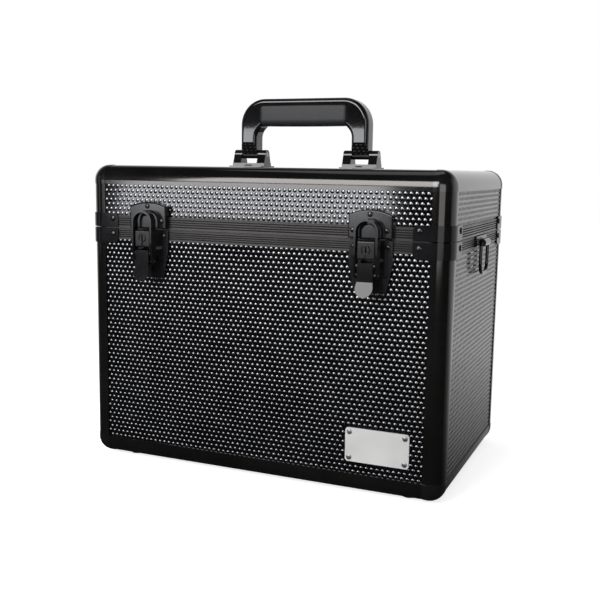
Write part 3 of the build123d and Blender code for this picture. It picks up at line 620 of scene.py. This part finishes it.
FINISH_OF_NODE = {
    "frame along width": ("base_bottom_profiles", "lid_top_profiles"),
    "frame upright": ("base_upright_profiles", "lid_upright_profiles"),
    "rail long": ("base_front_rail", "base_back_rail", "lid_front_rail", "lid_back_rail"),
    "rail short": ("base_end_rails", "lid_end_rails"),
    "cap": ("base_corner_caps", "lid_corner_caps"),
    "brace": ("base_corner_braces", "lid_corner_braces", "hinge_base_leaf", "hinge_lid_leaf"),
    "latch": (
        "latch_catch_plates",
        "latch_base_plates",
        "left_latch_lever",
        "right_latch_lever",
        "left_draw_loop",
        "right_draw_loop",
        "strap_plates",
        "left_strap_ring",
        "right_strap_ring",
    ),
    "lock": ("lock_housings", "left_lock_cylinder", "right_lock_cylinder"),
    "rivet": (
        "base_brace_rivets",
        "lid_brace_rivets",
        "latch_catch_rivets",
        "latch_base_rivets",
        "strap_rivets",
        "handle_bracket_rivets",
        "hinge_base_rivets",
        "hinge_lid_rivets",
    ),
    "handle": ("handle_frame", "handle_brackets"),
    "sheet": (
        "base_floor_panel",
        "base_front_panel",
        "base_back_panel",
        "base_end_panels",
        "lid_top_panel",
        "lid_front_panel",
        "lid_back_panel",
        "lid_end_panels",
    ),
    "steel": (
        "foot_screws",
        "hinge_pin",
        "lever_pivot_pins",
        "left_loop_pin",
        "right_loop_pin",
        "handle_pins",
        "nameplate_rivets",
    ),
    "plate": ("nameplate",),
    "grip": ("handle_grip",),
    "foot": ("feet",),
    "lining": ("base_lining", "lid_lining"),
}


class CASE_OT_finishes(bpy.types.Operator):
    """Give every framed piece of the case its material"""

    bl_idname = "case.finishes"
    bl_label = "Finish the Case"

    def execute(self, context):
        library = finish_library(context.scene.case_colours)
        for finish, nodes in FINISH_OF_NODE.items():
            for node in nodes:
                data = frame["nodes"][node].data
                data.materials.clear()
                data.materials.append(library[finish])
        return {"FINISHED"}


class CASE_OT_dotted_sheets(bpy.types.Operator):
    """Raise the staggered dots on every outer panel but the underside"""

    bl_idname = "case.dotted_sheets"
    bl_label = "Dotted Sheets"

    def execute(self, context):
        sizes = context.scene.case_sheet
        rail_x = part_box("base_front_rail")[1][0]
        rail_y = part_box("base_end_rails")[1][1]
        heights = {
            "base": (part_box("base_upright_profiles")[0][2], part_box("base_front_rail")[0][2]),
            "lid": (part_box("lid_front_rail")[1][2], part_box("lid_upright_profiles")[1][2]),
        }
        x, y, z = Vector((1, 0, 0)), Vector((0, 1, 0)), Vector((0, 0, 1))
        # Side, direction out of it and across it, half its width, its panel, and the end and the
        # axis of that panel's box on which its outer face lies.
        walls = (
            ("front", -y, x, rail_x, "front_panel", 0, 1),
            ("back", y, -x, rail_x, "back_panel", 1, 1),
            ("left", -x, -y, rail_y, "end_panels", 0, 0),
            ("right", x, y, rail_y, "end_panels", 1, 0),
        )
        for body, (low, high) in heights.items():
            for side, out, across, half, panel, end, axis in walls:
                centre = Vector((0, 0, (low + high) / 2))
                centre[axis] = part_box(f"{body}_{panel}")[end][axis]
                field = (2 * half, high - low)
                turn = np.array([across, z, out])
                self.dots(sizes, f"{body}_{side}_dots", body, centre, turn, field)
        top = Vector((0, 0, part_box("lid_top_panel")[1][2]))
        field = (2 * rail_x, 2 * rail_y)
        self.dots(sizes, "lid_top_dots", "lid", top, np.array([x, y, z]), field)
        return {"FINISHED"}

    def dots(self, sizes, name, body, centre, turn, field):
        """One field of dots: the dome repeated at every centre.

        The rows of turn are the directions across, up and out of the field, and each dot's size
        and place stray a little by a normal draw whose seed comes from the field's name.
        """
        centres = staggered_grid(field[0], field[1], sizes.pitch, sizes.row)
        if name == "base_front_dots":
            # No dot stands under the nameplate, in its box along X and Z.
            plate = np.array([list(corner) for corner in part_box("nameplate")])
            at = np.array(centre) + centres @ turn[:2]
            under = np.all((at[:, ::2] > plate[0, ::2]) & (at[:, ::2] < plate[1, ::2]), axis=1)
            centres = centres[~under]
        shape, faces = dome_shape(sizes.radius, sizes.height, sizes.sides)
        draw = np.random.default_rng(sum(ord(letter) for letter in name))
        grow = draw.normal(0, DOT_SPREAD, (len(centres), 1, 1))
        grow = 1 + grow.clip(-2 * DOT_SPREAD, 2 * DOT_SPREAD)
        nudge = draw.normal(0, DOT_STRAY, centres.shape)
        local = shape[None] * grow
        local[:, :, :2] += (centres + nudge)[:, None, :]
        points = (local.reshape(-1, 3) @ turn) + np.array(centre)
        faces = repeated_faces(faces, len(centres), len(shape))
        mesh_piece(name, points, faces, bpy.data.materials["dot gloss black"], body)


def islands(node):
    """Points of each separate solid of a node, as a list of arrays."""
    data = frame["nodes"][node].data
    points = np.empty(len(data.vertices) * 3)
    data.vertices.foreach_get("co", points)
    points = points.reshape(-1, 3)
    edges = np.empty(len(data.edges) * 2, dtype=int)
    data.edges.foreach_get("vertices", edges)
    # Points on the same micrometre are one point.
    rounded = np.round(points * 1e6).astype(np.int64)
    same = np.unique(rounded, axis=0, return_inverse=True)[1].reshape(-1)
    edges = same[edges.reshape(-1, 2)]
    label = np.arange(same.max() + 1)
    # Each label falls to the lowest one that it touches, until nothing changes.
    while True:
        low = np.minimum(label[edges[:, 0]], label[edges[:, 1]])
        after = label.copy()
        np.minimum.at(after, edges[:, 0], low)
        np.minimum.at(after, edges[:, 1], low)
        after = after[after]
        if np.array_equal(after, label):
            break
        label = after
    return [points[label[same] == each] for each in np.unique(label)]


def rivet_seat(points):
    """Head centre, outward direction, radius and rise of one rivet, from its points.

    Its axis is the side of its box that differs most from the other two. The head sits at the
    level of the widest points, and rises from there to the end that is nearer.
    """
    low, high = points.min(0), points.max(0)
    size = high - low
    short, medium, long = np.argsort(size)
    axis = short if size[medium] - size[short] > size[long] - size[medium] else long
    middle = (low + high) / 2
    across = [k for k in range(3) if k != axis]
    reach = np.linalg.norm((points - middle)[:, across], axis=1)
    seat = middle.copy()
    seat[axis] = points[reach > reach.max() * 0.98][:, axis].mean()
    up = seat[axis] > middle[axis]
    outward = np.zeros(3)
    outward[axis] = 1.0 if up else -1.0
    top = high[axis] if up else low[axis]
    return seat, outward, reach.max(), abs(top - seat[axis])


class CASE_OT_rivets(bpy.types.Operator):
    """Give every rivet its smooth pressed head"""

    bl_idname = "case.rivets"
    bl_label = "Rivets"

    def execute(self, context):
        for node in FINISH_OF_NODE["rivet"]:
            self.heads(node, "rivet black", "rivet", 1.0)
        self.heads("nameplate_rivets", "plain steel", "nameplate", NAMEPLATE_HEAD)
        return {"FINISHED"}

    def heads(self, node, finish, slot, wider):
        """One piece with the heads of all rivets of a node, in its place."""
        made = []
        for solid in islands(node):
            seat, outward, radius, rise = rivet_seat(solid)
            points, faces = self.head(seat, outward, radius * wider, rise)
            made.append(points)
        piece = mesh_piece(
            f"{node}_heads",
            np.concatenate(made),
            repeated_faces(faces, len(made), len(points)),
            bpy.data.materials[finish],
            BODIES[node],
        )
        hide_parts(node)

    def head(self, seat, outward, radius, rise):
        """Dome with a flattened crown: radius * sin(t) at rise * (0.12 + 0.88 * cos(t) ** 0.8).

        Below it, the rolled edge goes in to a narrower foot inside the plate.
        """
        t = np.linspace(0, np.pi / 2, 7)[1:][::-1]
        dome = 0.12 * rise + 0.88 * rise * np.cos(t) ** 0.8
        shares = np.concatenate([[0.55, 0.97], np.sin(t)])
        lifts = np.concatenate([[-0.4 * radius, 0.0], dome])
        level = abs(outward[2]) < 0.5
        side = np.cross(outward, [0.0, 0.0, 1.0]) if level else np.array([1.0, 0.0, 0.0])
        angle = 2 * np.pi * np.arange(HEAD_SIDES) / HEAD_SIDES
        ring = np.outer(np.cos(angle), side) + np.outer(np.sin(angle), np.cross(outward, side))
        points = seat + shares[:, None, None] * radius * ring[None]
        points = (points + lifts[:, None, None] * outward).reshape(-1, 3)
        points = np.concatenate([points, [seat + rise * outward]])
        return points, crowned_faces(len(shares), HEAD_SIDES)


class CASE_OT_lock_rims(bpy.types.Operator):
    """Set a raised ring round each keyway"""

    bl_idname = "case.lock_rims"
    bl_label = "Lock Rims"

    def execute(self, context):
        around, section = 40, 10
        # The ring's size as a share of the cylinder's, and in metres the radius of its section
        # and how far its middle stands in front of the cylinder.
        spread, thickness, proud = 0.82, 0.00055, 0.0001
        faces = ring_faces(around, section, closed_ends=False)
        # The last section joins the first one.
        last = (around - 1) * section
        faces += [
            (last + j, last + (j + 1) % section, (j + 1) % section, j) for j in range(section)
        ]
        finish = bpy.data.materials["latch gloss black"]
        for side in ("left", "right"):
            node = f"{side}_lock_cylinder"
            low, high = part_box(node)
            radius = min(high[0] - low[0], high[2] - low[2]) / 2 * spread
            centre = np.array([(low[0] + high[0]) / 2, low[1] - proud, (low[2] + high[2]) / 2])
            points = centre + self.ring(radius, thickness, around, section)
            mesh_piece(f"{side}_lock_rim", points, faces, finish, BODIES[node])
        return {"FINISHED"}

    def ring(self, major, minor, around, section):
        """Torus about the Y axis, for angles u round it and v round its section.

        x = (major + minor cos v) cos u, y = -minor sin v, z = (major + minor cos v) sin u.
        """
        turn = 2 * np.pi * np.arange(around) / around
        wrap = 2 * np.pi * np.arange(section) / section
        u, v = np.meshgrid(turn, wrap, indexing="ij")
        reach = major + minor * np.cos(v)
        points = np.stack([reach * np.cos(u), -minor * np.sin(v), reach * np.sin(u)], -1)
        return points.reshape(-1, 3)


class CASE_OT_soft_grip(bpy.types.Operator):
    """Wrap the handle's bar in a soft crowned sleeve"""

    bl_idname = "case.soft_grip"
    bl_label = "Soft Grip"

    def execute(self, context):
        low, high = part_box("handle_grip")
        half, deep = (high[0] - low[0]) / 2, (high[1] - low[1]) / 2
        # In metres: thickness of the walls and of the underside, corner radii, length and depth
        # of the rounding at the two ends, rise of the crown, and room round the core.
        wall, under = 0.0045, 0.0015
        lip, bend, inner = 0.0012, 0.0065, 0.0004
        end_length, end_depth, crown_rise = 0.002, 0.0016, 0.0004
        room = 0.0005
        core_half, core_under = deep - wall, low[2] + under
        # The outline runs down the front, under the bar, up the back and round the core.
        corners = [
            (-deep, high[2]),
            (-deep, low[2]),
            (deep, low[2]),
            (deep, high[2]),
            (core_half, high[2]),
            (core_half, core_under),
            (-core_half, core_under),
            (-core_half, high[2]),
        ]
        radii = [lip, bend, bend, lip, inner, inner, inner, inner]
        outline = rounded_outline(corners, radii, steps=8)
        along = np.linspace(-1, 1, 49)
        # The sleeve is the outline carried along X. Its outer side rises in a parabola towards
        # the middle, and goes in as a quarter of an ellipse at the two ends.
        edge = np.clip((half - np.abs(along) * half) / end_length, 0, 1)
        shrink = end_depth * (1 - np.sqrt(1 - (1 - edge) ** 2))
        crown = crown_rise * (1 - along**2)
        away = outline - np.array([0, (low[2] + high[2]) / 2])
        reach = np.linalg.norm(away, axis=1, keepdims=True)
        outer = (np.abs(outline[:, :1]) > core_half + room) | (outline[:, 1:] < core_under - room)
        step = (crown - shrink)[:, None, None] * outer[None]
        section = outline[None] + away[None] / reach[None] * step
        x = np.broadcast_to((along * half)[:, None, None], section.shape[:2] + (1,))
        piece = mesh_piece(
            "soft_grip_sleeve",
            np.concatenate([x, section], 2).reshape(-1, 3),
            ring_faces(len(along), len(outline)),
            bpy.data.materials["grip soft grain"],
            BODIES["handle_grip"],
        )
        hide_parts("handle_grip")
        return {"FINISHED"}


def area_lamp(name, place, target, size, power, colour):
    """Rectangular lamp that faces a point."""
    data = bpy.data.lights.new(name, "AREA")
    data.shape = "RECTANGLE"
    data.size, data.size_y = size
    data.energy = power
    data.color = colour
    lamp = bpy.data.objects.new(name, data)
    lamp.location = place
    lamp.rotation_euler = (Vector(target) - Vector(place)).to_track_quat("-Z", "Y").to_euler()
    bpy.context.scene.collection.objects.link(lamp)


class CASE_OT_studio(bpy.types.Operator):
    """Set up the white floor, the world, the lamps and the camera"""

    bl_idname = "case.studio"
    bl_label = "Studio"

    def execute(self, context):
        settings = context.scene.case_studio
        self.floor()
        self.world(context.scene)
        for name, place, target, size, power, colour in LAMPS:
            area_lamp(name, place, target, size, getattr(settings, power), colour)
        self.camera(context.scene, settings)
        context.scene.view_settings.view_transform = "Standard"
        return {"FINISHED"}

    def floor(self):
        """White floor under the feet, which keeps the object's shadow.

        It adds a glow where it is seen, and behind the object also where it is mirrored. In front
        of it, what is mirrored is the dim floor of the room.
        """
        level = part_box("feet")[0][2]
        corners = [
            (x * FLOOR_HALF, y * FLOOR_HALF, level) for x, y in ((-1, -1), (1, -1), (1, 1), (-1, 1))
        ]
        data = bpy.data.meshes.new("floor")
        data.from_pydata(corners, [], [(0, 1, 2, 3)])
        made = bpy.data.materials.new("floor white")
        graph = Graph(made)
        direct, glossy = graph.rays()
        behind = graph.axes(graph.object_place())[1].above(-0.1, 0.6)
        # The floor's two greys, and how much it glows where it is seen and where it is mirrored.
        pale, dim = rgb([0.8] * 3), rgb([0.03] * 3)
        seen_glow, mirrored_glow = 0.72, 0.6
        colour = graph.mix((1.0 - behind) * glossy, pale, dim)
        shown = direct * seen_glow + behind * mirrored_glow * glossy
        matte = graph.node("ShaderNodeBsdfDiffuse", {}, {"Color": colour})
        glow = graph.node("ShaderNodeEmission", {}, {"Color": rgb(WHITE), "Strength": shown})
        both = graph.node("ShaderNodeAddShader", {}, {0: matte.outputs[0], 1: glow.outputs[0]})
        graph.surface(both.outputs[0])
        data.materials.append(made)
        floor = bpy.data.objects.new("floor", data)
        bpy.context.scene.collection.objects.link(floor)

    def world(self, scene):
        """White where it is seen, and where it is mirrored from low down behind the object.

        A dim room is mirrored elsewhere, and the light on the object is a plain level all round.
        """
        world = bpy.data.worlds.new("studio")
        graph = Graph(world)
        direct, glossy = graph.rays()
        direction = graph.axes(graph.node("ShaderNodeTexCoord").outputs["Generated"])
        behind = direction[1].above(-0.1, 0.4) * (1.0 - direction[2].above(0.35, 0.75))
        # Strength of the dim room in mirrors, and of the light on the object.
        dim, plain = 0.02, 0.35
        mirrored = (dim + (1.0 - dim) * behind) * glossy
        level = direct + mirrored + plain * (1.0 - (direct + glossy))
        inputs = {"Color": rgb(WHITE), "Strength": level}
        graph.surface(graph.node("ShaderNodeBackground", {}, inputs).outputs[0])
        scene.world = world

    def camera(self, scene, settings):
        """Camera from its place and its yaw, pitch and roll, looking along +Y at zero."""
        yaw, pitch, roll = settings.yaw, settings.pitch, settings.roll
        flat = math.cos(pitch)
        forward = Vector((-math.sin(yaw) * flat, math.cos(yaw) * flat, -math.sin(pitch)))
        right = Vector((math.cos(yaw), math.sin(yaw), 0))
        up = right.cross(forward)
        leaned_right = math.cos(roll) * right + math.sin(roll) * up
        leaned_up = -math.sin(roll) * right + math.cos(roll) * up
        data = bpy.data.cameras.new("camera")
        data.lens = settings.lens
        data.sensor_width = SENSOR_WIDTH
        data.clip_start, data.clip_end = 0.01, 50
        camera = bpy.data.objects.new("camera", data)
        turn = Matrix((leaned_right, leaned_up, -forward)).transposed().to_4x4()
        camera.matrix_world = Matrix.Translation(settings.camera_place) @ turn
        scene.collection.objects.link(camera)
        scene.camera = camera


class CASE_PT_panel(bpy.types.Panel):
    """Buttons and settings of the case"""

    bl_label = "Case"
    bl_idname = "CASE_PT_panel"
    bl_space_type = "VIEW_3D"
    bl_region_type = "UI"
    bl_category = "Case"

    def draw(self, context):
        for key in GROUPS:
            group = getattr(context.scene, key)
            box = self.layout.box()
            for name in group.__annotations__:
                box.prop(group, name)
        for operator in STEPS:
            self.layout.operator(operator.bl_idname)


GROUPS = {"case_sheet": SheetSizes, "case_colours": FinishColours, "case_studio": StudioSettings}
STEPS = (
    CASE_OT_studio,
    CASE_OT_finishes,
    CASE_OT_dotted_sheets,
    CASE_OT_rivets,
    CASE_OT_lock_rims,
    CASE_OT_soft_grip,
)
CLASSES = (*GROUPS.values(), *STEPS, CASE_PT_panel)


def register():
    """Register the classes and put the settings on the scene."""
    for kind in CLASSES:
        bpy.utils.register_class(kind)
    for name, kind in GROUPS.items():
        setattr(bpy.types.Scene, name, bpy.props.PointerProperty(type=kind))


def unregister():
    """Take the settings and the classes away again."""
    for name in GROUPS:
        delattr(bpy.types.Scene, name)
    for kind in reversed(CLASSES):
        bpy.utils.unregister_class(kind)


def main():
    """Make the whole scene."""
    register()
    bpy.ops.case.studio()
    bpy.ops.case.finishes()
    bpy.ops.case.dotted_sheets()
    bpy.ops.case.rivets()
    bpy.ops.case.lock_rims()
    bpy.ops.case.soft_grip()


if __name__ == "__main__":
    main()
